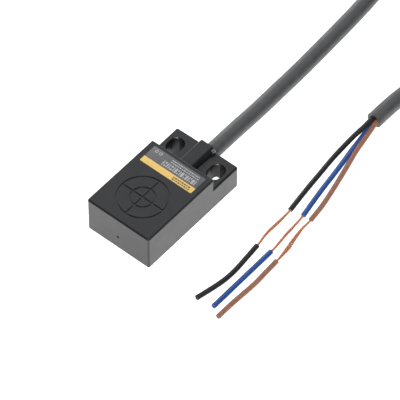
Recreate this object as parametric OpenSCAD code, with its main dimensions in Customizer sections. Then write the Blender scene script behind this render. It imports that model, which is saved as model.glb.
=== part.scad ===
// Flat rectangular inductive proximity sensor with a moulded-in three-core cable.
// Frame: +Z up out of the sensing face, +Y along the body towards the cable, +X to the right,
// origin at the bottom centre of the body. Millimetres.

/* [Body] */
// Width of the body across the cable direction
body_w = 18; // [17:0.5:20]
// Length of the body from front face to rear face
body_l = 31; // [31:0.5:34]
// Height of the sensing block
body_h = 10; // [10:0.5:12]
// Length of the mounting flange behind the block
flange_l = 8.5; // [8.5:0.1:9]
// Height of the mounting flange
flange_h = 6.4; // [6:0.1:6.8]
// Thickness of the side walls
wall = 1; // [0.8:0.1:1.2]
// Thickness of the sensing face
face_t = 0.8; // [0.7:0.1:0.9]

/* [Mounting slots] */
// Width of each through slot, for an M3 screw
slot_w = 3.4; // [3.2:0.1:3.5]
// End-to-end length of each slot
slot_len = 4.5; // [4.2:0.1:5]
// Distance between the two slots' centres
slot_pitch = 12; // [11.8:0.1:12.4]
// Distance from the rear face to the slots' centres
slot_back = 4.2; // [4:0.1:4.3]
// Chamfer around the top rim of each slot
slot_chamfer = 0.2; // [0.1:0.05:0.3]
// Width of the recess under the right slot
recess_w = 5.2; // [4.8:0.1:5.4]
// Length of the recess under the right slot
recess_l = 6; // [5.5:0.1:6.2]
// Depth of the recess under the right slot
recess_depth = 2; // [1.5:0.1:2.2]

/* [Cable ridge] */
// Width of the flat crest of the ridge over the cable entry
ridge_crest_w = 3.3; // [3.1:0.1:3.5]
// Distance the crest is set off to the left of the cable's line
ridge_shift = 0.15; // [0:0.05:0.2]
// Width of the ridge at its foot on the flange
ridge_foot_w = 4.8; // [4.7:0.1:5.2]
// Height of the crest
ridge_h = 7.9; // [7.8:0.1:8.1]

/* [Target mark] */
// Distance from the front face to the middle of the mark and of the coil
target_front = 8.5; // [8:0.1:9]
// Diameter of the outer ring, measured at the middle of its groove
ring_outer_d = 11.8; // [11:0.1:13]
// Diameter of the inner ring, measured at the middle of its groove
ring_inner_d = 5.6; // [4:0.1:7]
// Width of the grooves
groove_w = 0.45; // [0.2:0.05:0.6]
// Depth of the grooves
groove_depth = 0.2; // [0.1:0.05:0.3]

/* [Label] */
// Width of the label
label_w = 15; // [12:0.5:15.5]
// Length of the label
label_l = 5.3; // [4.5:0.1:5.5]
// Distance from the label to the block's rear edge
label_back = 1; // [0.8:0.1:1.5]
// Thickness of the label and depth of its recess
label_t = 0.1; // [0.05:0.05:0.2]

/* [Cable] */
// Outer diameter of the cable
cable_d = 4; // [4:0.1:4]
// Height of the cable's centre line where it leaves the body
exit_z = 3.5; // [3.4:0.1:3.6]
// Diameter of each insulated core
core_d = 1.2; // [1.1:0.05:1.2]
// Diameter of each bare conductor
wire_d = 0.5; // [0.4:0.05:0.5]
// Bore of each end sleeve
sleeve_bore = 0.6; // [0.6:0.05:0.7]

/* [Stored coil] */
// Centre line radius of the innermost turn
coil_r_in = 16.8; // [16:0.1:17]
// Centre line radius of the last turn, outside the layers
coil_r_last = 33.1; // [33:0.1:34]
// Number of layers of turns
coil_layers = 4; // [4:1:4]
// Distance between neighbouring turns and layers
coil_pitch = 4.05; // [4.02:0.01:4.1]
// Thickness of the ties, which the coil lies on
tie_t = 0.8; // [0.6:0.1:1]
// Width of the ties
tie_w = 2.5; // [2:0.1:3]

/* [Hidden] */
$fn = 48;

// Small overlaps: of cutters past a face, and of one stretch of a bar into the next
eps = 0.01;
lap = 0.02;

// Body places
half_w = body_w / 2;
rear_y = body_l / 2;
front_y = -body_l / 2;
block_y = rear_y - flange_l;
slot_y = rear_y - slot_back;
recess_r = 0.4;
target_y = front_y + target_front;
cover_t = 0.8;
cavity_w = body_w - 2 * wall;
cavity_front = front_y + wall;
cavity_rear = block_y - wall;
cavity_l = cavity_rear - cavity_front;
cavity_mid = (cavity_rear + cavity_front) / 2;
cavity_top = body_h - face_t;
dimple_d = 0.75;
dimple_z = 3.9;
dimple_depth = 0.15;
label_y = block_y - label_back - label_l / 2;
label_r = 0.25;

// Cable entry places
seal_d = 5;
seal_l = 3;
clamp_d = 4.8;
clamp_l = 1.6;
channel_d = 4.2;
jacket_bore = 2.6;
core_ring = 0.7;
inlet_y = cavity_rear;
guide_x = 1.4;
guide_z = 6.9;
guide_d = 0.9;
guide_head_x = 1.95;
guide_head_z = 7;
guide_head_d = 1;
guide_head_l = 1;

// Places on the circuit board
board_t = 0.8;
board_z = 1.7;
board_top = board_z + board_t;
board_gap = 0.3;
led_x = 1.5;
led_y = 4;
led_w = 1.8;
led_l = 1.2;
led_foot_w = 1;
led_gap = 0.1;
led_head_z = 4.2;

// Core and winding
ferrite_r = 5.5;
ferrite_z = 6;
ferrite_top = cavity_top - 0.05;
ferrite_floor = 1.1;
ferrite_wall = 0.9;
post_r = 2;
post_bore_r = 0.9;
bobbin_z = ferrite_z + ferrite_floor + 0.05;
bobbin_top = ferrite_top - 0.15;
bobbin_in_r = post_r + 0.05;
bobbin_out_r = ferrite_r - ferrite_wall - 0.1;
bobbin_wall = 0.35;
lead_hole_r = 0.3;
lead_r = 0.125;
lead_ring = 3.5;
lead_angles = [55, 125];

// Lead wires inside the body: place of each across the cable, x and z
lead_spot = [[0, exit_z + core_ring], [-0.606, exit_z - 0.35], [0.606, exit_z - 0.35]];
lead_cut_y = 3.4;
lead_end_y = [1.2, 2.2, 2.2];

// Chip resistors under the board and capacitors on it, as x and y
resistor_spots = [[-5.5, -11], [-5.5, -8], [-2.5, -11], [2.5, -11], [5.5, -11], [5.5, -8], [5.5, -5]];
resistor_size = [1.6, 0.8, 0.45];
capacitor_spots = [[-6.2, -12.4], [6.2, -12.4], [6.3, 1.8], [-6.3, 1.8]];
capacitor_size = [1.25, 2, 1.25];
chip_place = [-3.2, -6.9];
chip_size = [3.9, 5, 1.5];
chip_pins = 4;
chip_pin_pitch = 1.27;
transistor_place = [3.4, -9];
transistor_size = [1.6, 2.9, 1.1];
diode_place = [4.4, -3.4];
diode_size = [1.6, 2.7, 1.1];
leg_lift = 0.15;
leg_w = 0.4;
leg_reach = 0.9;
lead_bay = [2.6, 5.2, 2.5];

// Cable routes, from the body to the stored coil and from the coil to the stripped end
run_out_path = [[0, 15.5, 3.5], [0, 20, 3.5], [-0.15, 25.85, 3.2], [-0.4, 33.55, 2.5],
    [-0.7, 41.45, 2.1], [-0.85, 49.35, 2], [-1.15, 57.2, 2], [-1.55, 66.1, 2], [-2.05, 74.25, 2],
    [-3.05, 82.45, 2.2], [-5.9, 90.65, 2.5], [-9.8, 98.5, 2.7], [-14, 105.8, 2.8]];
run_end_path = [[41.6, 101.8, 2.8], [37, 92.7, 2.4], [31.6, 82, 2.1], [26.55, 72.45, 2],
    [23.1, 64.5, 2], [21.9, 57, 2], [21.7, 48.85, 2]];
jacket_end = run_end_path[len(run_end_path) - 1];
bare_depth = 1.8;
coil_centre = [12, 117];
coil_turn_r = cable_d / 2;
coil_z = tie_t;
coil_h = cable_d + (coil_layers - 1) * coil_pitch;
tie_angles = [40, 160, 275];

// Core routes, from inside the jacket to the cut of the insulation
black_core_path = [[21.3, 50.6, 2.6], [21.3, 48.85, 2.6], [21.2, 45.8, 2.2], [20.85, 43.05, 1.6],
    [20.65, 40.1, 1], [20.65, 37.15, 0.7], [20.85, 34, 0.6], [21.2, 30.85, 0.6], [21.55, 27.6, 0.6],
    [21.9, 24.4, 0.6], [22.3, 21.25, 0.6], [22.85, 17.2, 0.6]];
blue_core_path = [[21.3, 50.6, 1.4], [21.3, 48.85, 1.4], [21.55, 46.9, 1], [21.85, 44.9, 0.7],
    [22.15, 42.85, 0.6], [22.6, 39.6, 0.6], [23.1, 36.55, 0.6], [23.6, 33.45, 0.6], [24.05, 30.4, 0.6],
    [24.5, 27.15, 0.6], [25, 24, 0.6], [26.1, 17.8, 0.6]];
brown_core_path = [[22.4, 50.6, 2], [22.4, 48.85, 2], [22.65, 46.95, 1.8], [22.95, 44.9, 1.5],
    [23.35, 42.15, 1.2], [23.85, 39.35, 1.1], [24.65, 36, 0.85], [25.4, 32.75, 0.65],
    [26.15, 29.6, 0.6], [26.85, 26.45, 0.6], [27.5, 23.3, 0.6], [28.2, 17.95, 0.6]];

// Bare conductor routes, from the cut of the insulation to the mouth of the end sleeve
black_wire_path = [[22.85, 17.2, 0.6], [23, 14.85, 0.6], [23.05, 12.8, 0.6], [23, 10.7, 0.6],
    [23.05, 8.65, 0.6], [23.3, 6.65, 0.6], [23.53, 5.4, 0.6]];
blue_wire_path = [[26.1, 17.8, 0.6], [26.3, 15.6, 0.6], [26.45, 13.55, 0.6], [26.55, 11.45, 0.6],
    [26.75, 9.4, 0.6], [26.95, 7.6, 0.6], [27.05, 6.25, 0.6]];
brown_wire_path = [[28.2, 17.95, 0.6], [28.25, 15.4, 0.6], [28.45, 13.35, 0.6], [28.8, 11.15, 0.6],
    [29.2, 9.1, 0.6], [29.5, 7.1, 0.6], [29.65, 5.05, 0.6]];

// End sleeves: mouth, heading from -Y towards +X in degrees, and the lengths and turns that follow
sleeve_z = 0.6;
black_mouth = [23.6, 4.6, sleeve_z];
black_heading = 5;
black_steps = [[7, 0], [2.7, -5.7], [2.7, -5.7], [2.7, -5.6], [5, 0]];
blue_mouth = [27.05, 5.35, sleeve_z];
blue_heading = 0;
blue_length = 20.1;
brown_mouth = [29.7, 4.05, sleeve_z];
brown_heading = 2.5;
brown_steps = [[6.5, 0], [1.9, -3.1], [1.95, -3.2], [5.1, 2.15], [4.9, 2.15]];
conductor_grip = 6;
sleeve_grip = 6.3;
tip_bore = 4;

// ---------------------------------------------------------------- helpers

function unit(v) = v / norm(v);
function tangent(p, i) = unit(p[min(i + 1, len(p) - 1)] - p[max(i - 1, 0)]);
function side(t) = unit(cross(t, [0, 0, 1]));
function ring(p, i, r, n) =
    let (t = tangent(p, i), s = side(t), u = cross(s, t))
    [for (j = [0 : n - 1]) p[i] + r * (cos(360 * (j + 0.5) / n) * s + sin(360 * (j + 0.5) / n) * u)];

// A plain tube swept along a route
module swept_tube(path, d, n) {
    rings = len(path);
    points = [for (i = [0 : rings - 1]) each ring(path, i, d / 2, n)];
    walls = [for (i = [0 : rings - 2], j = [0 : n - 1])
        let (k = (j + 1) % n)
        each [[i * n + k, (i + 1) * n + k, (i + 1) * n + j], [i * n + k, (i + 1) * n + j, i * n + j]]];
    near = [for (j = [n - 1 : -1 : 0]) j];
    far = [for (j = [0 : n - 1]) (rings - 1) * n + j];
    polyhedron(points = points, faces = concat(walls, [near, far]), convexity = 6);
}

// A bar along Y from y0 to y1
module rod_y(x, z, d, y0, y1) {
    translate([x, y1, z]) rotate([90, 0, 0]) cylinder(d = d, h = y1 - y0);
}

// A centred plate standing on z = 0
module plate(w, l, t) {
    translate([-w / 2, -l / 2, 0]) cube([w, l, t]);
}

// A plate with round corners
module round_plate(w, l, t, r) {
    union() {
        plate(w, l - 2 * r, t);
        plate(w - 2 * r, l, t);
        for (x = [-1, 1], y = [-1, 1]) {
            translate([x * (w / 2 - r), y * (l / 2 - r), 0]) cylinder(r = r, h = t);
        }
    }
}

// The points of a level route from p with heading h (from -Y towards +X, in degrees), where each
// step is a length and the turn made along it
function level_route(p, h, steps, i = 0) =
    i >= len(steps) ? [p] :
    let (way = h + steps[i][1] / 2)
    concat([p], level_route(p + steps[i][0] * [sin(way), -cos(way), 0], h + steps[i][1], steps, i + 1));

// Places its children at a sleeve's mouth, running down its own -Y
module at_mouth(mouth, heading) {
    translate(mouth) rotate([0, 0, heading]) children();
}

// A straight stretch of a bar, running down -Y from the origin, let a little into what is behind it
module straight_bar(d, l) {
    translate([0, lap, 0]) rotate([90, 0, 0]) cylinder(d = d, h = l + lap);
}

// ---------------------------------------------------------------- housing

module slot(w, l, h) {
    for (s = [-1, 1]) {
        translate([0, s * (l - w) / 2, 0]) cylinder(d = w, h = h);
    }
    plate(w, l - w, h);
}

// A 45 degree chamfer round a slot's mouth at z = 0: two cones joined by a trapezoid bar
module slot_flare(c) {
    run = slot_len - slot_w;
    rise = c + eps;
    wide = slot_w / 2 + rise;
    for (s = [-1, 1]) {
        translate([0, s * run / 2, -c]) cylinder(r1 = slot_w / 2, r2 = wide, h = rise);
    }
    translate([0, run / 2, -c])
        rotate([90, 0, 0])
            linear_extrude(run)
                polygon([[-slot_w / 2, 0], [slot_w / 2, 0], [wide, rise], [-wide, rise]]);
}

module groove_ring(d) {
    translate([0, target_y, body_h - groove_depth])
        difference() {
            cylinder(d = d + groove_w, h = groove_depth + eps, $fn = 96);
            translate([0, 0, -eps]) cylinder(d = d - groove_w, h = groove_depth + 3 * eps, $fn = 96);
        }
}

module target_mark() {
    groove_ring(ring_outer_d);
    groove_ring(ring_inner_d);
    translate([0, target_y, body_h - groove_depth]) {
        plate(ring_outer_d, groove_w, groove_depth + eps);
        plate(groove_w, ring_outer_d, groove_depth + eps);
    }
}

// The ridge over the cable entry, let a little into the flange and the block
module ridge() {
    sink = flange_h - eps;
    translate([0, rear_y, 0])
        rotate([90, 0, 0])
            linear_extrude(flange_l + eps)
                polygon([[-ridge_foot_w / 2, sink], [ridge_foot_w / 2, sink],
                    [ridge_crest_w / 2 - ridge_shift, ridge_h],
                    [-ridge_crest_w / 2 - ridge_shift, ridge_h]]);
}

module case() {
    color([0.15, 0.15, 0.155])
    difference() {
        union() {
            translate([-half_w, front_y, 0]) cube([body_w, body_l - flange_l, body_h]);
            translate([-half_w, block_y - eps, 0]) cube([body_w, flange_l + eps, flange_h]);
            ridge();
        }
        // cavity, open at the bottom
        translate([-cavity_w / 2, cavity_front, -eps]) cube([cavity_w, cavity_l, cavity_top + eps]);
        // cable entry, with seats for the seal and the clamp
        rod_y(0, exit_z, channel_d, cavity_rear - eps, rear_y);
        rod_y(0, exit_z, seal_d, rear_y - seal_l, rear_y + eps);
        rod_y(0, exit_z, clamp_d, cavity_rear - eps, cavity_rear + clamp_l);
        // light guide
        rod_y(guide_x, guide_z, guide_d, cavity_rear - eps, rear_y - guide_head_l + eps);
        rod_y(guide_head_x, guide_head_z, guide_head_d, rear_y - guide_head_l, rear_y + eps);
        for (s = [-1, 1]) {
            translate([s * slot_pitch / 2, slot_y, 0]) {
                translate([0, 0, -eps]) slot(slot_w, slot_len, flange_h + 2 * eps);
                translate([0, 0, flange_h]) slot_flare(slot_chamfer);
            }
        }
        // recess under the right slot
        translate([slot_pitch / 2, slot_y, -eps])
            round_plate(recess_w, recess_l, recess_depth + eps, recess_r);
        target_mark();
        translate([0, label_y, body_h - label_t]) round_plate(label_w, label_l, label_t + eps, label_r);
        rod_y(0, dimple_z, dimple_d, front_y - eps, front_y + dimple_depth);
    }
}

module base_cover() {
    color([0.13, 0.13, 0.135])
    translate([0, cavity_mid, 0]) plate(cavity_w, cavity_l, cover_t);
}

module name_label() {
    color([0.45, 0.45, 0.46])
    translate([0, label_y, body_h - label_t]) round_plate(label_w, label_l, label_t, label_r);
}

// ---------------------------------------------------------------- indicator

module light_guide() {
    color([0.9, 0.75, 0.55])
    union() {
        rod_y(guide_x, guide_z, guide_d, cavity_rear, rear_y - guide_head_l + eps);
        rod_y(guide_head_x, guide_head_z, guide_head_d, rear_y - guide_head_l, rear_y);
    }
}

module indicator_led() {
    color([0.9, 0.5, 0.2])
    union() {
        // a narrow foot keeps clear of the leads
        translate([led_x + led_w / 2 - led_foot_w, led_y, board_top])
            cube([led_foot_w, led_l, led_head_z - board_top + eps]);
        translate([led_x - led_w / 2, led_y, led_head_z])
            cube([led_w, led_l, guide_z + led_w / 2 - led_head_z]);
        rod_y(guide_x, guide_z, guide_d, led_y + led_l - eps, cavity_rear - led_gap);
    }
}

// ---------------------------------------------------------------- sensing coil

// Holes for the winding's two ends
module lead_holes(z0, z1) {
    for (a = lead_angles) {
        translate([lead_ring * cos(a), lead_ring * sin(a), z0]) cylinder(r = lead_hole_r, h = z1 - z0);
    }
}

module ferrite_core() {
    color([0.2, 0.2, 0.22])
    translate([0, target_y, 0])
    difference() {
        translate([0, 0, ferrite_z]) cylinder(r = ferrite_r, h = ferrite_top - ferrite_z);
        translate([0, 0, ferrite_z + ferrite_floor])
            difference() {
                cylinder(r = ferrite_r - ferrite_wall, h = ferrite_top);
                translate([0, 0, -1]) cylinder(r = post_r, h = ferrite_top + 2);
            }
        translate([0, 0, ferrite_z - 1]) cylinder(r = post_bore_r, h = ferrite_top);
        lead_holes(ferrite_z - 1, ferrite_z + ferrite_floor + 0.5);
    }
}

module coil_bobbin() {
    color([0.85, 0.82, 0.7])
    translate([0, target_y, 0])
    difference() {
        translate([0, 0, bobbin_z]) cylinder(r = bobbin_out_r, h = bobbin_top - bobbin_z);
        translate([0, 0, bobbin_z + bobbin_wall])
            difference() {
                cylinder(r = bobbin_out_r + 1, h = bobbin_top - bobbin_z - 2 * bobbin_wall);
                translate([0, 0, -1]) cylinder(r = bobbin_in_r + bobbin_wall, h = bobbin_top);
            }
        translate([0, 0, bobbin_z - 1]) cylinder(r = bobbin_in_r, h = bobbin_top);
        lead_holes(bobbin_z - 1, bobbin_z + bobbin_wall + 0.1);
    }
}

module coil_winding() {
    color([0.72, 0.4, 0.2])
    translate([0, target_y, bobbin_z + bobbin_wall])
    difference() {
        cylinder(r = bobbin_out_r - 0.15, h = bobbin_top - bobbin_z - 2 * bobbin_wall);
        translate([0, 0, -1]) cylinder(r = bobbin_in_r + bobbin_wall, h = bobbin_top);
    }
}

module coil_leads() {
    color([0.75, 0.42, 0.22])
    translate([0, target_y, board_top])
    for (a = lead_angles) {
        translate([lead_ring * cos(a), lead_ring * sin(a), 0])
            cylinder(r = lead_r, h = bobbin_z + bobbin_wall - board_top);
    }
}

// ---------------------------------------------------------------- electronics

module circuit_board() {
    color([0.1, 0.35, 0.2])
    translate([0, cavity_mid, board_z])
        plate(cavity_w - 2 * board_gap, cavity_l - 2 * board_gap, board_t);
}

// A small plastic package with flat legs down both long sides
module package(w, l, h, pins, pitch) {
    translate([-w / 2, -l / 2, leg_lift]) cube([w, l, h - leg_lift]);
    for (s = [-1, 1], i = [0 : pins - 1]) {
        translate([s * (w + leg_reach) / 2 - s * eps, (i - (pins - 1) / 2) * pitch, 0])
            plate(leg_reach, leg_w, leg_lift + 0.2);
    }
}

module oscillator_chip() {
    color([0.12, 0.12, 0.12])
    translate([chip_place[0], chip_place[1], board_top])
        package(chip_size[0], chip_size[1], chip_size[2], chip_pins, chip_pin_pitch);
}

module output_transistor() {
    color([0.12, 0.12, 0.12])
    translate([transistor_place[0], transistor_place[1], board_top])
        package(transistor_size[0], transistor_size[1], transistor_size[2], 2, 1.9);
}

module surge_diode() {
    color([0.15, 0.15, 0.16])
    translate([diode_place[0], diode_place[1], board_top])
        package(diode_size[0], diode_size[1], diode_size[2], 1, 1);
}

module chip_resistors() {
    color([0.1, 0.1, 0.12])
    for (p = resistor_spots) {
        translate([p[0], p[1], board_z - resistor_size[2]])
            plate(resistor_size[0], resistor_size[1], resistor_size[2]);
    }
}

module chip_capacitors() {
    color([0.7, 0.6, 0.45])
    for (p = capacitor_spots) {
        translate([p[0], p[1], board_top])
            plate(capacitor_size[0], capacitor_size[1], capacitor_size[2]);
    }
}

// The end of one bent-down conductor, as x, y and height above the board
function lead_foot(i) = [lead_spot[i][0], lead_end_y[i], board_top];

module solder_joints() {
    color([0.78, 0.78, 0.8])
    for (i = [0 : 2]) {
        translate(lead_foot(i))
            difference() {
                cylinder(r1 = 0.55, r2 = 0.3, h = 0.35);
                translate([0, 0, -eps]) cylinder(d = wire_d, h = 1);
            }
    }
}

// One insulated lead with its bared end bent down to the board
module lead(i, shade) {
    x = lead_spot[i][0];
    z = lead_spot[i][1];
    color(shade)
    union() {
        rod_y(x, z, core_d, lead_cut_y, inlet_y);
        rod_y(x, z, wire_d, lead_end_y[i], lead_cut_y + eps);
        translate([x, lead_end_y[i], z]) sphere(d = wire_d);
        translate(lead_foot(i)) cylinder(d = wire_d, h = z - board_top);
    }
}

module black_lead() { lead(0, [0.05, 0.05, 0.05]); }
module blue_lead() { lead(1, [0.1, 0.3, 0.7]); }
module brown_lead() { lead(2, [0.45, 0.28, 0.2]); }

// A plain pocket in the resin round one package with its legs
module package_pocket(place, w, l, h) {
    translate([place[0], place[1], board_top]) plate(w + 2 * leg_reach, l, h);
}

module potting_resin() {
    color([0.2, 0.2, 0.22])
    difference() {
        translate([0, cavity_mid, cover_t]) plate(cavity_w, cavity_l, cavity_top - cover_t);
        circuit_board();
        package_pocket(chip_place, chip_size[0], chip_size[1], chip_size[2]);
        package_pocket(transistor_place, transistor_size[0], transistor_size[1], transistor_size[2]);
        package_pocket(diode_place, diode_size[0], diode_size[1], diode_size[2]);
        chip_resistors();
        chip_capacitors();
        // the indicator stands in a bay that is open to the light guide
        translate([led_x - led_w / 2, led_y, board_top])
            cube([led_w, cavity_rear - led_y + eps, guide_z + led_w / 2 - board_top]);
        // the sensing coil stands in one round pocket
        translate([0, target_y, ferrite_z]) cylinder(r = ferrite_r, h = cavity_top);
        coil_leads();
        // the three leads run into one bay
        translate([-lead_bay[0] / 2, cavity_rear - lead_bay[1], board_top])
            cube([lead_bay[0], lead_bay[1] + eps, lead_bay[2]]);
    }
}

// ---------------------------------------------------------------- cable entry

module cable_seal() {
    color([0.1, 0.1, 0.1])
    difference() {
        rod_y(0, exit_z, seal_d, rear_y - seal_l, rear_y);
        rod_y(0, exit_z, cable_d, rear_y - seal_l - 1, rear_y + 1);
    }
}

module cable_clamp() {
    color([0.7, 0.7, 0.72])
    difference() {
        rod_y(0, exit_z, clamp_d, inlet_y, inlet_y + clamp_l);
        rod_y(0, exit_z, cable_d, inlet_y - 1, inlet_y + clamp_l + 1);
    }
}

module cable_inlet() {
    color([0.33, 0.34, 0.35])
    rod_y(0, exit_z, cable_d, inlet_y, rear_y);
}

// ---------------------------------------------------------------- free cable

module cable_run_out() {
    color([0.33, 0.34, 0.35]) swept_tube(run_out_path, cable_d, 10);
}

module coil_section(grow) {
    inner = coil_r_in - coil_turn_r - grow;
    outer = coil_r_last + coil_turn_r + grow;
    translate([inner, coil_z - grow]) square([outer - inner, coil_h + 2 * grow]);
}

module cable_coil() {
    color([0.33, 0.34, 0.35])
    translate([coil_centre[0], coil_centre[1], 0]) rotate_extrude($fn = 96) coil_section(0);
}

module cable_ties() {
    color([0.12, 0.12, 0.12])
    translate([coil_centre[0], coil_centre[1], 0])
    for (a = tie_angles) {
        rotate([0, 0, a])
            translate([0, tie_w / 2, 0])
                rotate([90, 0, 0])
                    linear_extrude(tie_w)
                        difference() {
                            coil_section(tie_t);
                            coil_section(0.05);
                        }
    }
}

module cable_run_end() {
    color([0.33, 0.34, 0.35])
    difference() {
        swept_tube(run_end_path, cable_d, 10);
        // the bared end, where the three cores come out
        rod_y(jacket_end[0], jacket_end[2], jacket_bore, jacket_end[1] - eps, jacket_end[1] + bare_depth);
    }
}

module black_core() { color([0.05, 0.05, 0.05]) swept_tube(black_core_path, core_d, 8); }
module blue_core() { color([0.12, 0.32, 0.65]) swept_tube(blue_core_path, core_d, 8); }
module brown_core() { color([0.5, 0.34, 0.26]) swept_tube(brown_core_path, core_d, 8); }

// A bare conductor: a bent stretch in the open and a straight one inside its sleeve
module strands(path, mouth, heading) {
    open = norm(mouth - path[len(path) - 1]) + lap;
    color([0.75, 0.45, 0.3])
    union() {
        swept_tube(path, wire_d, 8);
        at_mouth(mouth, heading) translate([0, open, 0]) straight_bar(wire_d, open + conductor_grip);
    }
}

module black_strands() { strands(black_wire_path, black_mouth, black_heading); }
module blue_strands() { strands(blue_wire_path, blue_mouth, blue_heading); }
module brown_strands() { strands(brown_wire_path, brown_mouth, brown_heading); }

// ---------------------------------------------------------------- end sleeves

// A bent sleeve, bored at its mouth for the conductor and open at its tip
module bent_sleeve(mouth, heading, steps) {
    route = level_route(mouth, heading, steps);
    last = len(route) - 1;
    tip = route[last];
    way = tip - route[last - 1];
    difference() {
        swept_tube(route, core_d, 10);
        at_mouth(mouth, heading) straight_bar(sleeve_bore, sleeve_grip);
        at_mouth(tip, atan2(way[0], -way[1]))
            translate([0, tip_bore, 0]) straight_bar(sleeve_bore, tip_bore + 1);
    }
}

module black_sleeve() {
    color([0.05, 0.05, 0.05]) bent_sleeve(black_mouth, black_heading, black_steps);
}

module blue_sleeve() {
    color([0.12, 0.32, 0.65])
    at_mouth(blue_mouth, blue_heading)
        difference() {
            rotate([90, 0, 0]) cylinder(d = core_d, h = blue_length);
            translate([0, 1, 0]) rotate([90, 0, 0]) cylinder(d = sleeve_bore, h = blue_length + 2);
        }
}

module brown_sleeve() {
    color([0.5, 0.34, 0.26]) bent_sleeve(brown_mouth, brown_heading, brown_steps);
}

// ---------------------------------------------------------------- nodes

case();
base_cover();
name_label();
light_guide();
indicator_led();
ferrite_core();
coil_bobbin();
coil_winding();
coil_leads();
circuit_board();
oscillator_chip();
output_transistor();
surge_diode();
chip_resistors();
chip_capacitors();
solder_joints();
potting_resin();
cable_seal();
cable_clamp();
cable_inlet();
black_lead();
blue_lead();
brown_lead();
cable_run_out();
cable_coil();
cable_ties();
cable_run_end();
black_core();
blue_core();
brown_core();
black_strands();
blue_strands();
brown_strands();
black_sleeve();
blue_sleeve();
brown_sleeve();
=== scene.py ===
import math
import bpy
import bmesh
import numpy as np
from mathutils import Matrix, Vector


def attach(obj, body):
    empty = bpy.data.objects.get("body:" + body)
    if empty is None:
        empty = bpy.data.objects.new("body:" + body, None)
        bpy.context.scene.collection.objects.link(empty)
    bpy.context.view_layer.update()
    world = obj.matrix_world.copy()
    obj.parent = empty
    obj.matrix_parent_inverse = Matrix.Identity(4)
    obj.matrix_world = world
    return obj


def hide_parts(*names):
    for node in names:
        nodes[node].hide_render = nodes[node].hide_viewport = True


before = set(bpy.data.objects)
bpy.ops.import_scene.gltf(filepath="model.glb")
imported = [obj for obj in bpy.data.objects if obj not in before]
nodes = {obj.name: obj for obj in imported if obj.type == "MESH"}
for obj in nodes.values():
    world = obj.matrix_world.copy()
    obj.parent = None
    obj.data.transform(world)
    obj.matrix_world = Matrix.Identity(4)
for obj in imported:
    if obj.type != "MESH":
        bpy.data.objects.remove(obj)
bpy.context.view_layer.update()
MM = 0.001
scene = bpy.context.scene
scene.view_settings.view_transform = "Standard"


# ---------------------------------------------------------------- camera

AZIMUTH, ELEVATION = 40.12, 51.6
LOOK_AT = Vector((5.177, 6.672, 0.0)) * MM
DISTANCE = 0.865156
az, el = math.radians(AZIMUTH), math.radians(ELEVATION)
back = Vector((math.sin(az) * math.cos(el), -math.cos(az) * math.cos(el), math.sin(el)))
lens = bpy.data.cameras.new("camera")
lens.type = "PERSP"
lens.sensor_width = 36.0
lens.lens = 345.17
lens.clip_start, lens.clip_end = 0.05, 20.0
camera = bpy.data.objects.new("camera", lens)
camera.location = LOOK_AT + back * DISTANCE
camera.rotation_mode = "QUATERNION"
camera.rotation_quaternion = (-back).to_track_quat("-Z", "Y")
scene.collection.objects.link(camera)
scene.camera = camera


# ---------------------------------------------------------------- curves

TUBE_SIDES = 24


def spline(points, step):
    """Points a step apart on the natural cubic curve through the given points."""
    p = np.array(points, float)
    t = np.concatenate([[0.0], np.cumsum(np.linalg.norm(np.diff(p, axis=0), axis=1))])
    n = len(p)
    h = np.diff(t)
    a = np.eye(n)
    b = np.zeros_like(p)
    for i in range(1, n - 1):
        a[i, i - 1], a[i, i], a[i, i + 1] = h[i - 1], 2 * (h[i - 1] + h[i]), h[i]
        b[i] = 6 * ((p[i + 1] - p[i]) / h[i] - (p[i] - p[i - 1]) / h[i - 1])
    m = np.linalg.solve(a, b)
    s = np.linspace(0, t[-1], max(int(t[-1] / step) * 4, 8))
    k = np.clip(np.searchsorted(t, s, side="right") - 1, 0, n - 2)
    d, e, hk = (s - t[k])[:, None], (t[k + 1] - s)[:, None], h[k][:, None]
    q = (m[k] * e**3 + m[k + 1] * d**3) / (6 * hk) + (p[k] / hk - m[k] * hk / 6) * e
    q += (p[k + 1] / hk - m[k + 1] * hk / 6) * d
    run = np.concatenate([[0.0], np.cumsum(np.linalg.norm(np.diff(q, axis=0), axis=1))])
    even = np.linspace(0, run[-1], max(int(round(run[-1] / step)) + 1, 2))
    return np.stack([np.interp(even, run, q[:, c]) for c in range(3)], axis=1)


def length_of(path):
    return float(np.linalg.norm(np.diff(path, axis=0), axis=1).sum())


def frames_along(path):
    """Tangent, side and upward direction at each point, turning as little as possible."""
    t = np.gradient(path, axis=0)
    t /= np.linalg.norm(t, axis=1)[:, None]
    side = np.cross(t[0], (0.0, 0.0, 1.0))
    side /= np.linalg.norm(side)
    sides = [side]
    for i in range(1, len(path)):
        side = sides[-1] - t[i] * np.dot(sides[-1], t[i])
        sides.append(side / np.linalg.norm(side))
    sides = np.array(sides)
    return t, sides, np.cross(sides, t)


def mesh_object(name, verts, faces, smooth_angle=35.0):
    """A new object from vertices in metres, smooth but for edges past an angle."""
    mesh = bpy.data.meshes.new(name)
    mesh.from_pydata([tuple(v) for v in verts], [], [tuple(f) for f in faces])
    mesh.validate()
    bm = bmesh.new()
    bm.from_mesh(mesh)
    bmesh.ops.recalc_face_normals(bm, faces=bm.faces)
    bm.to_mesh(mesh)
    bm.free()
    mesh.polygons.foreach_set("use_smooth", [True] * len(mesh.polygons))
    mesh.set_sharp_from_angle(angle=math.radians(smooth_angle))
    obj = bpy.data.objects.new(name, mesh)
    scene.collection.objects.link(obj)
    return obj


def joined(parts):
    """Several lists of vertices and faces as one."""
    verts, faces, base = [], [], 0
    for v, f in parts:
        verts.append(v)
        faces += [tuple(i + base for i in face) for face in f]
        base += len(v)
    return np.concatenate(verts), faces


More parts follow.
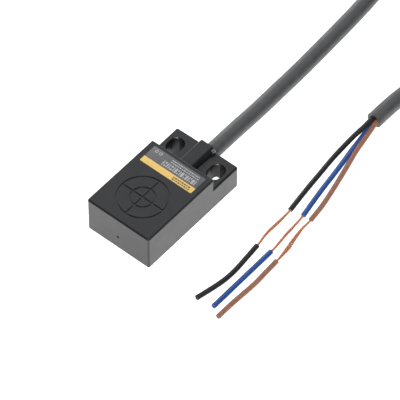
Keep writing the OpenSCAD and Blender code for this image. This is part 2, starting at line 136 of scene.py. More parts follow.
def loft(rings, closed=False):
    """Vertices and faces through rings of equal count, given in order, with flat ends unless closed."""
    n = len(rings[0])
    verts = np.concatenate(rings)
    faces = []
    last = len(rings) if closed else len(rings) - 1
    for i in range(last):
        a, b = i * n, ((i + 1) % len(rings)) * n
        for j in range(n):
            k = (j + 1) % n
            faces.append((a + j, a + k, b + k, b + j))
    if not closed:
        faces.append(tuple(range(n - 1, -1, -1)))
        faces.append(tuple(range((len(rings) - 1) * n, len(rings) * n)))
    return verts, faces


def tube(name, path, radius, bore=0.0, start_depth=0.0, end_depth=0.0, edge=0.0, waver=0.0):
    """A swept tube with softened cut ends, and a bore of a given depth at either end. Sizes in mm."""
    _, s, u = frames_along(path)
    run = np.concatenate([[0.0], np.cumsum(np.linalg.norm(np.diff(path, axis=0), axis=1))])
    angle = np.arange(TUBE_SIDES) * 2 * math.pi / TUBE_SIDES
    total = run[-1]

    def ring(at, r):
        c = np.array([np.interp(at, run, path[:, k]) for k in range(3)])
        ss, uu = (np.array([np.interp(at, run, w[:, k]) for k in range(3)]) for w in (s, u))
        out = r * (np.cos(angle)[:, None] * ss + np.sin(angle)[:, None] * uu)
        return (c + out) * MM

    def wall(at):
        if waver == 0.0:
            return radius
        return radius * (1.0 - waver * (0.5 + 0.5 * math.sin(at * 0.31) * math.sin(at * 0.113 + 1.0)))

    rings = []
    if start_depth > 0:
        rings += [ring(start_depth, bore), ring(0.02, bore), ring(0.0, bore + 0.02)]
    rings += [ring(0.0, radius - edge), ring(edge * 0.3, radius - edge * 0.3)]
    inner = run[(run > edge * 1.01) & (run < total - edge * 1.01)]
    rings += [ring(edge, radius)] + [ring(at, wall(at)) for at in inner] + [ring(total - edge, radius)]
    rings += [ring(total - edge * 0.3, radius - edge * 0.3), ring(total, radius - edge)]
    if end_depth > 0:
        rings += [ring(total, bore + 0.02), ring(total - 0.02, bore), ring(total - end_depth, bore)]
    verts, faces = loft(rings)
    return mesh_object(name, verts, faces)


# ---------------------------------------------------------------- cable routes, in mm

RUN_OUT = [(0, 15.5, 3.5), (0, 20, 3.5), (-0.15, 25.85, 3.2), (-0.4, 33.55, 2.5), (-0.7, 41.45, 2.1),
    (-0.85, 49.35, 2), (-1.15, 57.2, 2), (-1.55, 66.1, 2), (-2.05, 74.25, 2), (-3.05, 82.45, 2.2),
    (-5.9, 90.65, 2.5), (-9.8, 98.5, 2.7)]
RUN_END = [(41.6, 101.8, 2.8), (37, 92.7, 2.4), (31.6, 82, 2.1), (26.55, 72.45, 2), (23.1, 64.5, 2),
    (21.9, 57, 2), (21.7, 48.85, 2)]
COIL_CENTRE = (12.0, 117.0)
COIL_R_OUT, COIL_R_IN, COIL_R_LAST = 28.9, 16.8, 33.1
COIL_Z, COIL_PITCH = 2.8, 4.05
COIL_START, LAST_TURN = 203.3, 230.5
CABLE_R = 2.0


def ease(x):
    x = min(max(x, 0.0), 1.0)
    return x * x * (3 - 2 * x)


def coil_points():
    """Four layers of three turns, wound inwards and outwards in turn, then an outer turn back down."""
    points = []
    per_turn = 24
    for i in range(12 * per_turn):
        turn = i / per_turn
        layer, share = int(turn // 3), (turn % 3) / 3
        if layer % 2:
            share = 1 - share
        r = COIL_R_OUT + (COIL_R_IN - COIL_R_OUT) * share
        z = COIL_Z + COIL_PITCH * layer
        into = turn % 3
        if layer < 3 and into > 2.86:
            z += COIL_PITCH * 0.5 * ease((into - 2.86) / 0.14)
        if layer > 0 and into < 0.14:
            z -= COIL_PITCH * 0.5 * (1 - ease(into / 0.14))
        angle = math.radians(COIL_START - 360 * turn)
        points.append((r, angle, z))
    for i in range(16):
        share = i / 16
        a = share * LAST_TURN / 360
        r = COIL_R_OUT + (COIL_R_LAST - COIL_R_OUT) * ease(a / 0.26)
        z = COIL_Z + COIL_PITCH * 3 * (1 - ease((a - 0.1) / (LAST_TURN / 360 - 0.1)))
        points.append((r, math.radians(COIL_START - 360 * a), z))
    return [(COIL_CENTRE[0] + r * math.cos(a), COIL_CENTRE[1] + r * math.sin(a), z) for r, a, z in points]


cable_path = spline(RUN_OUT + coil_points() + RUN_END, 1.0)
cable_path[:, 2] = np.maximum(cable_path[:, 2], CABLE_R)
cable_length = length_of(cable_path)
cable = tube("cable_jacket", cable_path, CABLE_R, bore=1.3, end_depth=1.8, edge=0.07, waver=0.006)

CORES = {
    "black": [(21.3, 50.6, 2.6), (21.3, 48.85, 2.6), (21.2, 45.8, 2.2), (20.85, 43.05, 1.6),
        (20.65, 40.1, 1), (20.65, 37.15, 0.7), (20.85, 34, 0.6), (21.2, 30.85, 0.6), (21.55, 27.6, 0.6),
        (21.9, 24.4, 0.6), (22.3, 21.25, 0.6), (22.85, 17.2, 0.6)],
    "blue": [(21.3, 50.6, 1.4), (21.3, 48.85, 1.4), (21.55, 46.9, 1), (21.85, 44.9, 0.7),
        (22.15, 42.85, 0.6), (22.6, 39.6, 0.6), (23.1, 36.55, 0.6), (23.6, 33.45, 0.6), (24.05, 30.4, 0.6),
        (24.5, 27.15, 0.6), (25, 24, 0.6), (26.1, 17.8, 0.6)],
    "brown": [(22.4, 50.6, 2), (22.4, 48.85, 2), (22.65, 46.95, 1.8), (22.95, 44.9, 1.5),
        (23.35, 42.15, 1.2), (23.85, 39.35, 1.1), (24.65, 36, 0.85), (25.4, 32.75, 0.65),
        (26.15, 29.6, 0.6), (26.85, 26.45, 0.6), (27.5, 23.3, 0.6), (28.2, 17.95, 0.6)],
}
WIRES = {
    "black": [(22.85, 17.2, 0.6), (23, 14.85, 0.6), (23.05, 12.8, 0.6), (23, 10.7, 0.6),
        (23.05, 8.65, 0.6), (23.3, 6.65, 0.6), (23.53, 5.4, 0.6)],
    "blue": [(26.1, 17.8, 0.6), (26.3, 15.6, 0.6), (26.45, 13.55, 0.6), (26.55, 11.45, 0.6),
        (26.75, 9.4, 0.6), (26.95, 7.6, 0.6), (27.05, 6.25, 0.6)],
    "brown": [(28.2, 17.95, 0.6), (28.25, 15.4, 0.6), (28.45, 13.35, 0.6), (28.8, 11.15, 0.6),
        (29.2, 9.1, 0.6), (29.5, 7.1, 0.6), (29.65, 5.05, 0.6)],
}
SLEEVES = {
    "black": ((23.6, 4.6, 0.6), 5.0, [(7, 0), (2.7, -5.7), (2.7, -5.7), (2.7, -5.6), (5, 0)]),
    "blue": ((27.05, 5.35, 0.6), 0.0, [(5.1, 0), (5.1, 0), (5.1, 0), (4.8, 0)]),
    "brown": ((29.7, 4.05, 0.6), 2.5, [(6.5, 0), (1.9, -3.1), (1.95, -3.2), (5.1, 2.15), (4.9, 2.15)]),
}
CORE_R, SLEEVE_BORE_R = 0.625, 0.3


def level_route(mouth, heading, steps):
    """The points of a level route, each step a length and the turn made along it."""
    points = [tuple(mouth)]
    for length, turn in steps:
        way = math.radians(heading + turn / 2)
        x, y, z = points[-1]
        points.append((x + length * math.sin(way), y - length * math.cos(way), z))
        heading += turn
    return points


def densified(points):
    """Extra points on the straight stretches, so that the curve stays straight there."""
    out = [points[0]]
    for p, q in zip(points, points[1:]):
        gap = math.dist(p, q)
        for i in range(1, max(int(gap / 1.2), 1)):
            share = i / max(int(gap / 1.2), 1)
            out.append(tuple(a + (b - a) * share for a, b in zip(p, q)))
        out.append(q)
    return out


core_pieces, sleeve_pieces = {}, {}
for shade, route in CORES.items():
    path = spline(route, 0.45)
    core_pieces[shade] = tube(shade + "_insulation", path, CORE_R, edge=0.05, waver=0.01)
    mouth, heading, steps = SLEEVES[shade]
    bent = level_route(mouth, heading, steps)
    path = spline([bent[0]] + densified(bent[:2])[1:] + bent[2:], 0.45)
    sleeve_pieces[shade] = tube(shade + "_end_sleeve", path, CORE_R, bore=SLEEVE_BORE_R,
        start_depth=6.3, end_depth=4.0, edge=0.05, waver=0.01)


# ---------------------------------------------------------------- bare strands

STRAND_R = 0.064
STRAND_LAY = 9.0
INSIDE_CORE, INSIDE_SLEEVE = 0.8, 6.0
STRAND_RINGS = [(0.0, 1), (0.12, 6), (0.234, 12)]
FLARE = {"black": (1.6, 0.42), "blue": (1.4, 0.5), "brown": (2.2, 0.66)}


def bundle(shade):
    """Nineteen fine strands laid round one another, spread a little where the insulation is off."""
    mouth, heading, _ = SLEEVES[shade]
    way = math.radians(heading)
    along = np.array((math.sin(way), -math.cos(way), 0.0))
    start = np.array(WIRES[shade][0])
    into = start - np.array(CORES[shade][-2])
    into /= np.linalg.norm(into)
    route = [start - into * INSIDE_CORE, *WIRES[shade]]
    route += [np.array(mouth) + along * d for d in (0.4, 1.6, 2.8, 4.0, 5.0, INSIDE_SLEEVE)]
    path = spline(route, 0.22)
    _, s, u = frames_along(path)
    run = np.concatenate([[0.0], np.cumsum(np.linalg.norm(np.diff(path, axis=0), axis=1))])
    open_from = INSIDE_CORE
    open_to = run[-1] - INSIDE_SLEEVE
    share = np.clip((run - open_from) / (open_to - open_from), 0, 1)
    widen, peak = FLARE[shade]
    warped = np.where(share < peak, share / peak * 0.5, 0.5 + (share - peak) / (1 - peak) * 0.5)
    swell = 1 + (widen - 1) * np.sin(math.pi * warped) ** 2
    rng = np.random.default_rng({"black": 3, "blue": 5, "brown": 8}[shade])
    angle = np.arange(8) * math.pi / 4
    parts = []
    for ring_r, count, slot in [(r, n, k) for r, n in STRAND_RINGS for k in range(n)]:
        phase = slot * 2 * math.pi / count + rng.uniform(-0.08, 0.08)
        drift = rng.uniform(-0.2, 0.2)
        loose = (swell - 1) * rng.uniform(0.8, 1.05)
        turn = phase + run * 2 * math.pi / STRAND_LAY + drift * (swell - 1)
        r = ring_r * (1 + loose)
        flat = 1 - 0.35 * (swell - 1) / max(widen - 1, 0.01)
        offset = (np.cos(turn) * r)[:, None] * s + (np.sin(turn) * r * flat)[:, None] * u
        line = path + offset
        _, ss, uu = frames_along(line)
        parts.append(loft([(line[k] + STRAND_R * (np.cos(angle)[:, None] * ss[k]
            + np.sin(angle)[:, None] * uu[k])) * MM for k in range(len(line))]))
    return mesh_object(shade + "_copper", *joined(parts))


copper_pieces = {shade: bundle(shade) for shade in CORES}


# ---------------------------------------------------------------- coil ties

TIE_ANGLES = (40, 160, 275)
TIE_WIDTH = 2.5
TIE_LIE = 0.06
TIE_THICK = 0.7
COIL_REACH = 36.0


def turns_at(angle):
    """Where the cable crosses the half plane at an angle round the coil, as radius and height."""
    x, y = cable_path[:, 0] - COIL_CENTRE[0], cable_path[:, 1] - COIL_CENTRE[1]
    away = np.degrees(np.arctan2(y, x)) - angle
    away = (away + 180) % 360 - 180
    place = np.column_stack([np.hypot(x, y), cable_path[:, 2]])
    found = []
    for i in range(len(x) - 1):
        if abs(away[i]) < 20 and away[i] * away[i + 1] <= 0 and place[i, 0] < COIL_REACH:
            share = away[i] / (away[i] - away[i + 1]) if away[i] != away[i + 1] else 0
            found.append(place[i] + (place[i + 1] - place[i]) * share)
    return np.array(found)


def tie(angle):
    """A nylon band drawn round the turns."""
    turns = turns_at(angle)
    way = math.radians(angle)
    outward = np.array((math.cos(way), math.sin(way), 0.0))
    across = np.array((-math.sin(way), math.cos(way), 0.0))
    centre = np.array((COIL_CENTRE[0], COIL_CENTRE[1], 0.0))
    directions = np.radians(np.arange(0, 360, 5))
    half, soft = TIE_WIDTH / 2, 0.16
    section = [(-half + soft, TIE_THICK), (half - soft, TIE_THICK),
        (half - soft * 0.3, TIE_THICK - soft * 0.3), (half, TIE_THICK - soft),
        (half, soft), (half - soft, 0.0), (-half + soft, 0.0), (-half, soft),
        (-half, TIE_THICK - soft), (-half + soft * 0.3, TIE_THICK - soft * 0.3)]
    rings = []
    for d in directions:
        look = np.array((math.cos(d), math.sin(d)))
        hold = turns[np.argmax(turns @ look)]
        ring = []
        for side, out in section:
            r, z = hold + look * (CABLE_R + TIE_LIE + out)
            ring.append((centre + outward * r + across * side + np.array((0, 0, z))) * MM)
        rings.append(np.array(ring))
    return loft(rings, closed=True)


def rounded_block(size, soft, centre, axes):
    """A block with rounded edges, along three given axes. Sizes in mm."""
    bm = bmesh.new()
    bmesh.ops.create_cube(bm, size=1.0)
    for v in bm.verts:
        v.co = Vector((v.co.x * size[0], v.co.y * size[1], v.co.z * size[2]))
    bmesh.ops.bevel(bm, geom=bm.edges[:], offset=soft, segments=3, profile=0.5, affect="EDGES")
    a = np.array([v.co for v in bm.verts])
    verts = (np.array(centre) + a @ np.array(axes)) * MM
    faces = [tuple(v.index for v in f.verts) for f in bm.faces]
    bm.free()
    return verts, faces


def tie_head(angle):
    """The tie's lock and the stub of its tail, on the coil's inner side."""
    turns = turns_at(angle)
    way = math.radians(angle)
    outward = np.array((math.cos(way), math.sin(way), 0.0))
    across = np.array((-math.sin(way), math.cos(way), 0.0))
    up = np.array((0.0, 0.0, 1.0))
    r = turns[:, 0].min() - CABLE_R - TIE_LIE - TIE_THICK
    z = (turns[:, 1].min() + turns[:, 1].max()) / 2 + 1.5
    centre = np.array((COIL_CENTRE[0], COIL_CENTRE[1], 0.0)) + outward * (r - 0.95) + up * z
    head = rounded_block((2.0, 3.6, 3.6), 0.35, centre, (outward, across, up))
    stub = rounded_block((3.2, 2.3, 0.75), 0.2, centre - outward * 1.2 - up * 0.4, (outward, across, up))
    return head, stub


tie_parts = [part for a in TIE_ANGLES for part in (tie(a), *tie_head(a))]
ties = mesh_object("coil_ties", *joined(tie_parts), smooth_angle=40)


# ---------------------------------------------------------------- housing

def baked(obj):
    """The object's mesh with its modifiers worked in."""
    bpy.context.view_layer.update()
    dg = bpy.context.evaluated_depsgraph_get()
    made = bpy.data.meshes.new_from_object(obj.evaluated_get(dg), preserve_all_data_layers=True,
        depsgraph=dg)
    obj.modifiers.clear()
    obj.data = made
    made.name = obj.name
    return made


def evened(mesh, angle):
    """Edges past an angle made sharp, and normals that lean to the larger faces, to keep flats flat."""
    bm = bmesh.new()
    bm.from_mesh(mesh)
    bm.normal_update()
    for f in bm.faces:
        f.smooth = True
    for e in bm.edges:
        e.smooth = e.is_manifold and e.calc_face_angle() < math.radians(angle)
    leaning = {}
    for v in bm.verts:
        waiting = list(v.link_faces)
        while waiting:
            fan = [waiting.pop()]
            for face in fan:
                for e in face.edges:
                    if e.smooth and v in e.verts:
                        beside = [f for f in e.link_faces if f in waiting]
                        waiting = [f for f in waiting if f not in beside]
                        fan += beside
            lean = sum((f.normal * f.calc_area() for f in fan), Vector()).normalized()
            for face in fan:
                leaning[face.index, v.index] = lean
    bm.to_mesh(mesh)
    bm.free()
    mesh.normals_split_custom_set([leaning[p.index, i] for p in mesh.polygons for i in p.vertices])


def softened(name, node, weigh, width, angle=28.0):
    """A copy of a CAD node's shape with its edges rounded; weigh gives each edge's share of width."""
    bm = bmesh.new()
    bm.from_mesh(nodes[node].data)
    bmesh.ops.remove_doubles(bm, verts=bm.verts, dist=2e-6)
    bmesh.ops.dissolve_limit(bm, angle_limit=math.radians(0.4), verts=bm.verts[:], edges=bm.edges[:])
    layer = bm.edges.layers.float.new("bevel_weight_edge")
    for e in bm.edges:
        if e.is_manifold and e.calc_face_angle() > math.radians(angle):
            mid = (e.verts[0].co + e.verts[1].co) / 2 / MM
            e[layer] = weigh(mid, (e.verts[1].co - e.verts[0].co) / MM, e.is_convex)
    mesh = bpy.data.meshes.new(name)
    bm.to_mesh(mesh)
    bm.free()
    obj = bpy.data.objects.new(name, mesh)
    scene.collection.objects.link(obj)
    bevel = obj.modifiers.new("edges", "BEVEL")
    bevel.limit_method = "WEIGHT"
    bevel.width = width * MM
    bevel.segments = 4
    bevel.use_clamp_overlap = False
    bevel.loop_slide = False
    bevel.miter_outer = "MITER_ARC"
    evened(baked(obj), angle)
    return obj


HALF_W, REAR_Y, FRONT_Y, BLOCK_Y, TOP_Z, FLANGE_Z = 9.0, 15.5, -15.5, 7.0, 10.0, 6.4
RIDGE_LEFT, RIDGE_RIGHT, RIDGE_FOOT_X, RIDGE_Z = -1.8, 1.5, 2.4, 7.9
CASE_SOFT = 0.5
NEAR = 0.02
SLOT_X, SLOT_Y = 6.0, 11.3
SLOT_REACH_X, SLOT_REACH_Y = 2.7, 3.1


def case_edge(mid, way, convex):
    """How much each edge of the housing is rounded, as a share of CASE_SOFT."""
    x, y, z = mid
    outer_x = abs(abs(x) - HALF_W) < NEAR
    front, rear, step = (abs(y - at) < NEAR for at in (FRONT_Y, REAR_Y, BLOCK_Y))
    top, flange, floor, crest = (abs(z - at) < NEAR for at in (TOP_Z, FLANGE_Z, 0.0, RIDGE_Z))
    along_ridge = abs(way[1]) > 5
    if not convex:
        return 0.5 if along_ridge and flange and abs(x - RIDGE_FOOT_X) < NEAR else 0.0
    if outer_x and (front or rear):
        return 1.0
    if along_ridge and crest and abs(x - RIDGE_LEFT) < NEAR:
        return 0.3
    if along_ridge and crest and abs(x - RIDGE_RIGHT) < NEAR:
        return 0.9
    if front and top or x > 0 and outer_x and (top or flange):
        return 0.9
    if x < 0 and outer_x and (top or flange):
        return 0.4
    if top and step or outer_x and step:
        return 0.7
    if (outer_x or front) and floor:
        return 0.35
    if rear and (flange or floor):
        return 0.4
    return 0.0


case = softened("housing", "case", case_edge, CASE_SOFT)


# ---------------------------------------------------------------- name label

LABEL_Y, LABEL_W, LABEL_L, LABEL_R = 3.35, 15.0, 5.3, 0.25
LABEL_T, LABEL_SOFT = 0.1, 0.02
STRIPE_L = 1.7


def outline(x0, y0, x1, y1, corners, steps=6):
    """A rectangle's outline. Corner radii: front left, front right, rear right, rear left."""
    points = []
    turns = ((x0, y0, 180), (x1, y0, 270), (x1, y1, 0), (x0, y1, 90))
    for (cx, cy, a0), r in zip(turns, corners):
        sx, sy = (1 if cx == x0 else -1), (1 if cy == y0 else -1)
        if r == 0:
            points.append((cx, cy))
            continue
        for i in range(steps + 1):
            a = math.radians(a0 + 90 * i / steps)
            points.append((cx + sx * r + r * math.cos(a), cy + sy * r + r * math.sin(a)))
    return np.array(points)


def slab(name, shape):
    """The label's thin plate of the given outline, with softened top edges. Sizes in mm."""
    centre = shape.mean(axis=0)
    span = shape.max(axis=0) - shape.min(axis=0)
    soft = LABEL_SOFT
    levels = [(TOP_Z - LABEL_T, 0.0), (TOP_Z - soft, 0.0), (TOP_Z - soft * 0.3, 0.3), (TOP_Z, 1.0)]
    rings = []
    for z, share in levels:
        shrunk = centre + (shape - centre) * (1 - 2 * soft * share / span)
        rings.append(np.column_stack([shrunk, np.full(len(shape), z)]) * MM)
    verts, faces = loft(rings)
    return mesh_object(name, verts, faces, smooth_angle=30)


label_x, label_front = LABEL_W / 2, LABEL_Y - LABEL_L / 2
label_rear = label_front + LABEL_L
split = label_front + STRIPE_L
stripe = slab("label_stripe", outline(-label_x, label_front, label_x, split, (LABEL_R, LABEL_R, 0, 0)))
film = slab("label_film", outline(-label_x, split, label_x, label_rear, (0, 0, LABEL_R, LABEL_R)))
INK_UP, INK_DOWN = 0.006, 0.01
RING_OUT, RING_IN = 0.42, 0.26


def ticks(x0, x1, y, l, widths=(0.26, 0.46, 0.3, 0.26, 0.6), gap=0.24, piece=0.38):
    """A row of plain upright ticks, every third cut in two. Each stroke is x, y, width, length."""
    row, x, i = [], x0, 0
    while x < x1:
        w = widths[i % len(widths)]
        if i % 3 == 1:
            row += [(x, y, w, l * piece), (x, y + l * (1 - piece), w, l * piece)]
        else:
            row.append((x, y, w, l))
        x += w + gap
        i += 1
    return row


def dashes(x0, x1, y, l, widths, gap=0.16):
    """A row of short strokes of varied width, given as ticks are."""
    row, x, i = [], x0, 0
    while x + 0.3 < x1:
        w = min(widths[i % len(widths)], x1 - x)
        row.append((x, y, w, l))
        x += w + gap
        i += 1
    return row


def inked(name, strokes, rings_at=()):
    """Thin raised ink on the label, as strokes and small rings."""
    low, high = TOP_Z - INK_DOWN, TOP_Z + INK_UP
    round_at = np.radians(np.arange(0, 360, 15))
    circle = np.column_stack([np.cos(round_at), np.sin(round_at)])
    solids = []
    for x, y, w, l in strokes:
        shape = outline(x, y, x + w, y + l, (min(w, l) * 0.25,) * 4, steps=2)
        solids.append(([(shape, low), (shape, high)], False))
    for at in rings_at:
        outer, inner = (np.array(at) + circle * r for r in (RING_OUT, RING_IN))
        solids.append(([(outer, low), (outer, high), (inner, high), (inner, low)], True))
    parts = [loft([np.column_stack([p, np.full(len(p), z)]) * MM for p, z in levels], closed=closed)
        for levels, closed in solids]
    return mesh_object(name, *joined(parts), smooth_angle=30)


pale = ticks(-3.0, 6.3, 2.8, 1.4)
pale += dashes(-1.7, 6.6, 4.58, 0.3, (0.5, 0.3, 0.7, 0.4))
pale += dashes(-1.7, 6.6, 5.2, 0.3, (0.35, 0.6, 0.3, 0.45, 0.7))
dark = dashes(1.5, 6.6, 0.98, 0.4, (0.55, 0.3, 0.4)) + dashes(1.5, 6.6, 1.6, 0.4, (0.35, 0.6, 0.45))
marks = inked("label_print", pale, [(-6.1, 5.05), (-4.9, 5.05)])
stripe_marks = inked("stripe_print", dark)


# ---------------------------------------------------------------- materials

def grown(name, tones, grain, rough, bump, metallic=0.0, ior=1.5, stretch=(1, 1, 1), sockets=()):
    """A surface whose tone, gloss and relief come from noise. Feature sizes in mm.

    rough is the least and most roughness and the size of its patches; bump is size, strength and
    height for each layer of relief; sockets is the name and value of each further setting.
    """
    m = bpy.data.materials.new(name)
    m.use_nodes = True
    tree = m.node_tree
    shader = tree.nodes["Principled BSDF"]
    shader.inputs["Metallic"].default_value = metallic
    shader.inputs["IOR"].default_value = ior
    for key, value in sockets:
        shader.inputs[key].default_value = value
    place = tree.nodes.new("ShaderNodeTexCoord")
    mapping = tree.nodes.new("ShaderNodeMapping")
    mapping.inputs["Scale"].default_value = stretch
    tree.links.new(place.outputs["Object"], mapping.inputs["Vector"])

    def noise(size, detail=4.0, roughness=0.55):
        n = tree.nodes.new("ShaderNodeTexNoise")
        n.inputs["Scale"].default_value = 1.0 / (size * MM)
        n.inputs["Detail"].default_value = detail
        n.inputs["Roughness"].default_value = roughness
        tree.links.new(mapping.outputs["Vector"], n.inputs["Vector"])
        return n.outputs["Fac"]

    ramp = tree.nodes.new("ShaderNodeValToRGB")
    stops = np.linspace(0.35, 0.65, len(tones))
    for i, (at, tone) in enumerate(zip(stops, tones)):
        stop = ramp.color_ramp.elements[i] if i < 2 else ramp.color_ramp.elements.new(at)
        stop.position = at
        stop.color = (*tone, 1.0)
    tree.links.new(noise(grain), ramp.inputs["Fac"])
    tree.links.new(ramp.outputs["Color"], shader.inputs["Base Color"])
    gloss = tree.nodes.new("ShaderNodeMapRange")
    gloss.inputs["From Min"].default_value, gloss.inputs["From Max"].default_value = 0.3, 0.7
    gloss.inputs["To Min"].default_value, gloss.inputs["To Max"].default_value = rough[0], rough[1]
    tree.links.new(noise(rough[2], 3.0), gloss.inputs["Value"])
    tree.links.new(gloss.outputs["Result"], shader.inputs["Roughness"])
    normal = None
    for size, strength, height in bump:
        relief = tree.nodes.new("ShaderNodeBump")
        relief.inputs["Strength"].default_value = strength
        relief.inputs["Distance"].default_value = height * MM
        tree.links.new(noise(size, 3.0, 0.5), relief.inputs["Height"])
        if normal is not None:
            tree.links.new(normal, relief.inputs["Normal"])
        normal = relief.outputs["Normal"]
    if normal is not None:
        tree.links.new(normal, shader.inputs["Normal"])
    return m


def dress(obj, mat):
    """The object in one material."""
    obj.data.materials.clear()
    obj.data.materials.append(mat)


abs_black = grown("moulded_black", [(0.005, 0.005, 0.0055), (0.008, 0.008, 0.009)], 2.5, (0.28, 0.36, 3.0),
    [(0.22, 0.25, 0.01), (2.8, 0.2, 0.04)])
# Painted shade: a darker, duller copy of the housing plastic, not a different finish. It goes on the slot
# walls and on the ridge's right flank so they read as dark as shade.
abs_painted_shade = grown("moulded_black_painted_shade", [(0.003, 0.003, 0.003), (0.006, 0.006, 0.006)], 1.2,
    (0.5, 0.62, 1.0), [(0.2, 0.4, 0.015)], sockets=[("Specular IOR Level", 0.25)])
abs_cover = grown("moulded_cover", [(0.007, 0.007, 0.0075), (0.012, 0.012, 0.013)], 2.0, (0.42, 0.52, 2.0),
    [(0.25, 0.35, 0.012)])
film_grey = grown("film_grey", [(0.084, 0.084, 0.087), (0.106, 0.106, 0.109)], 0.5, (0.35, 0.45, 1.5),
    [(0.12, 0.12, 0.004)])
film_yellow = grown("film_yellow", [(0.71, 0.465, 0.11), (0.77, 0.52, 0.14)], 0.6, (0.35, 0.45, 1.5),
    [(0.12, 0.12, 0.004)])
ink_brown = grown("ink_brown", [(0.075, 0.06, 0.045), (0.11, 0.085, 0.06)], 0.2, (0.40, 0.55, 0.8),
    [(0.08, 0.1, 0.003)])
ink_white = grown("ink_white", [(0.36, 0.36, 0.375), (0.44, 0.44, 0.455)], 0.2, (0.40, 0.55, 0.8),
    [(0.08, 0.1, 0.003)])
jacket_grey = grown("jacket_grey", [(0.052, 0.054, 0.055), (0.064, 0.066, 0.067)], 1.6, (0.36, 0.48, 2.4),
    [(0.18, 0.25, 0.012), (1.5, 0.2, 0.04)])
tie_black = grown("tie_nylon", [(0.012, 0.012, 0.012), (0.018, 0.018, 0.018)], 1.2, (0.38, 0.5, 1.5),
    [(0.2, 0.2, 0.01)])
CORE_RELIEF = [(0.15, 0.25, 0.01), (0.8, 0.2, 0.03)]
core_finish = {
    "black": grown("insulation_black", [(0.007, 0.007, 0.007), (0.012, 0.012, 0.012)], 0.7,
        (0.42, 0.54, 1.0), CORE_RELIEF, sockets=[("Specular IOR Level", 0.4)]),
    "blue": grown("insulation_blue", [(0.008, 0.052, 0.235), (0.014, 0.075, 0.295)], 0.7,
        (0.36, 0.48, 1.0), CORE_RELIEF),
    "brown": grown("insulation_brown", [(0.225, 0.092, 0.052), (0.285, 0.122, 0.07)], 0.7,
        (0.36, 0.48, 1.0), CORE_RELIEF),
}
copper_bare = grown("copper_bare", [(0.50, 0.19, 0.10), (0.66, 0.30, 0.18), (0.58, 0.245, 0.14)], 0.35,
    (0.34, 0.5, 0.5), [(0.05, 0.2, 0.004)], metallic=0.7)

dress(case, abs_black)
case.data.materials.append(abs_painted_shade)
# Painted shade: the slot walls and the ridge's right flank take the darker copy of the plastic.
for poly in case.data.polygons:
    x, y, z = poly.center / MM
    in_slot = abs(abs(x) - SLOT_X) < SLOT_REACH_X and abs(y - SLOT_Y) < SLOT_REACH_Y
    in_slot = in_slot and NEAR < z < FLANGE_Z - 0.01
    on_flank = FLANGE_Z < z < RIDGE_Z and y > BLOCK_Y and poly.normal.x > 0.5
    if in_slot and poly.normal.x < 0.35 or on_flank:
        poly.material_index = 1
dress(stripe, film_yellow)
dress(film, film_grey)
dress(marks, ink_white)
dress(stripe_marks, ink_brown)
dress(cable, jacket_grey)
dress(ties, tie_black)
for shade in CORES:
    dress(core_pieces[shade], core_finish[shade])
    dress(sleeve_pieces[shade], core_finish[shade])
    dress(copper_pieces[shade], copper_bare)

rubber = grown("seal_rubber_black", [(0.012, 0.012, 0.012), (0.02, 0.02, 0.02)], 0.6, (0.55, 0.7, 0.8),
    [(0.15, 0.4, 0.015)])
steel = grown("clamp_steel_plated", [(0.50, 0.50, 0.49), (0.62, 0.62, 0.61)], 0.5, (0.25, 0.4, 0.6),
    [(0.1, 0.2, 0.005)], metallic=1.0)
guide_clear = grown("light_guide_acrylic", [(0.13, 0.125, 0.12), (0.18, 0.175, 0.165)], 0.3,
    (0.12, 0.2, 0.4), [(0.08, 0.1, 0.003)], ior=1.49, sockets=[("Transmission Weight", 0.35)])
led_resin = grown("indicator_epoxy", [(0.75, 0.30, 0.08), (0.85, 0.42, 0.14)], 0.4, (0.15, 0.25, 0.5),
    [(0.1, 0.1, 0.004)])
ferrite_dark = grown("ferrite_dark", [(0.025, 0.025, 0.028), (0.05, 0.05, 0.053)], 0.25, (0.45, 0.65, 0.5),
    [(0.12, 0.4, 0.015)])
bobbin_pale = grown("bobbin_pale", [(0.62, 0.58, 0.45), (0.70, 0.66, 0.52)], 0.8, (0.4, 0.5, 1.0),
    [(0.2, 0.2, 0.01)])
winding_copper = grown("winding_enamel", [(0.50, 0.19, 0.07), (0.68, 0.30, 0.13)], 0.3, (0.25, 0.4, 0.4),
    [(0.1, 0.5, 0.03)], metallic=1.0, stretch=(0.2, 0.2, 1.6))
laminate = grown("board_green", [(0.01, 0.07, 0.03), (0.02, 0.11, 0.05)], 0.5, (0.3, 0.45, 0.8),
    [(0.15, 0.3, 0.01)])
chip_black = grown("chip_epoxy_black", [(0.012, 0.012, 0.012), (0.02, 0.02, 0.02)], 0.3, (0.5, 0.65, 0.5),
    [(0.08, 0.4, 0.01)])
resistor_body = grown("resistor_ceramic", [(0.015, 0.015, 0.02), (0.04, 0.04, 0.05)], 0.3, (0.3, 0.5, 0.4),
    [(0.08, 0.2, 0.006)])
capacitor_body = grown("capacitor_ceramic_tan", [(0.36, 0.26, 0.15), (0.46, 0.34, 0.2)], 0.4,
    (0.35, 0.5, 0.4), [(0.08, 0.2, 0.006)])
solder_bright = grown("solder_bright", [(0.6, 0.6, 0.62), (0.75, 0.75, 0.77)], 0.3, (0.15, 0.3, 0.4),
    [(0.1, 0.2, 0.006)], metallic=1.0)
resin_dark = grown("potting_epoxy_dark", [(0.014, 0.014, 0.016), (0.026, 0.026, 0.03)], 1.0,
    (0.2, 0.35, 1.5), [(0.5, 0.2, 0.02)])
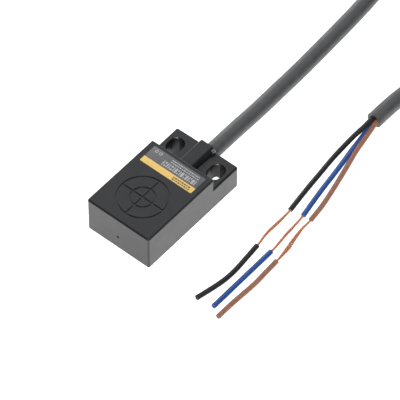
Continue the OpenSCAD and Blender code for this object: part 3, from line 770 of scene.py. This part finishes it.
NODE_FINISH = {
    "base_cover": abs_cover,
    "light_guide": guide_clear,
    "indicator_led": led_resin,
    "ferrite_core": ferrite_dark,
    "coil_bobbin": bobbin_pale,
    "coil_winding": winding_copper,
    "coil_leads": winding_copper,
    "circuit_board": laminate,
    "oscillator_chip": chip_black,
    "output_transistor": chip_black,
    "surge_diode": chip_black,
    "chip_resistors": resistor_body,
    "chip_capacitors": capacitor_body,
    "solder_joints": solder_bright,
    "potting_resin": resin_dark,
    "cable_seal": rubber,
    "cable_clamp": steel,
    "cable_inlet": jacket_grey,
    "black_lead": core_finish["black"],
    "blue_lead": core_finish["blue"],
    "brown_lead": core_finish["brown"],
}
for node_name, finish in NODE_FINISH.items():
    dress(nodes[node_name], finish)


# ---------------------------------------------------------------- riding and replacing

def stand(obj, body, slot, *replaced):
    """Says which body a piece rides on and hides the CAD nodes that it stands for; the slot argument is
    not used.
    """
    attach(obj, body)
    if replaced:
        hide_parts(*replaced)


stand(case, "sensor", "case_plastic", "case")
stand(film, "sensor", "label_film", "name_label")
stand(stripe, "sensor", "label_film")
stand(marks, "sensor", "label_film")
stand(stripe_marks, "sensor", "label_film")
stand(cable, "sensor", "cable_jacket", "cable_run_out", "cable_coil", "cable_run_end")
stand(ties, "sensor", "tie_nylon", "cable_ties")
for shade in CORES:
    stand(core_pieces[shade], "sensor", shade + "_insulation", shade + "_core")
    stand(copper_pieces[shade], "sensor", "bare_copper", shade + "_strands")
    stand(sleeve_pieces[shade], shade + "_sleeve", shade + "_insulation", shade + "_sleeve")


# ---------------------------------------------------------------- floor and light

bm = bmesh.new()
bmesh.ops.create_grid(bm, x_segments=1, y_segments=1, size=6.0)
floor_mesh = bpy.data.meshes.new("floor")
bm.to_mesh(floor_mesh)
bm.free()
floor = bpy.data.objects.new("floor", floor_mesh)
floor.location = (0, 0, -0.00005)
scene.collection.objects.link(floor)
floor_mat = bpy.data.materials.new("floor_white")
floor_mat.use_nodes = True
floor_tree = floor_mat.node_tree
floor_shader = floor_tree.nodes["Principled BSDF"]
floor_shader.inputs["Base Color"].default_value = (0.8, 0.8, 0.8, 1)
floor_shader.inputs["Roughness"].default_value = 0.9
floor_shader.inputs["Specular IOR Level"].default_value = 0.0
floor_shader.inputs["Emission Color"].default_value = (1, 1, 1, 1)
floor_shader.inputs["Emission Strength"].default_value = 1.0
floor_mesh.materials.append(floor_mat)

world = bpy.data.worlds.new("studio")
scene.world = world
world.use_nodes = True
tree = world.node_tree
shade_node = tree.nodes["Background"]
place = tree.nodes.new("ShaderNodeTexCoord")
toward = tree.nodes.new("ShaderNodeVectorMath")
toward.operation = "DOT_PRODUCT"
toward.inputs[1].default_value = Vector((-0.25, 0.6, 0.76)).normalized()
sky = tree.nodes.new("ShaderNodeValToRGB")
tree.links.new(place.outputs["Generated"], toward.inputs[0])
tree.links.new(toward.outputs["Value"], sky.inputs["Fac"])
tree.links.new(sky.outputs["Color"], shade_node.inputs["Color"])
sky.color_ramp.interpolation = "EASE"
sky.color_ramp.elements[0].position = 0.66
sky.color_ramp.elements[0].color = (0.06, 0.06, 0.06, 1)
sky.color_ramp.elements[1].position = 0.9
sky.color_ramp.elements[1].color = (1.0, 1.02, 1.05, 1)
shade_node.inputs["Strength"].default_value = 1.0

LAMP_DISTANCE = 1.2
LAMPS = [("key", back, 0.6, 13.0), ("fill", Vector((-0.80, 0.48, 0.35)).normalized(), 0.8, 4.2)]
for name, way, size, energy in LAMPS:
    lamp = bpy.data.lights.new(name, "AREA")
    lamp.shape = "DISK"
    lamp.size = size
    lamp.energy = energy
    lamp_obj = bpy.data.objects.new(name, lamp)
    lamp_obj.location = way * LAMP_DISTANCE
    lamp_obj.rotation_mode = "QUATERNION"
    lamp_obj.rotation_quaternion = way.to_track_quat("Z", "Y")
    scene.collection.objects.link(lamp_obj)
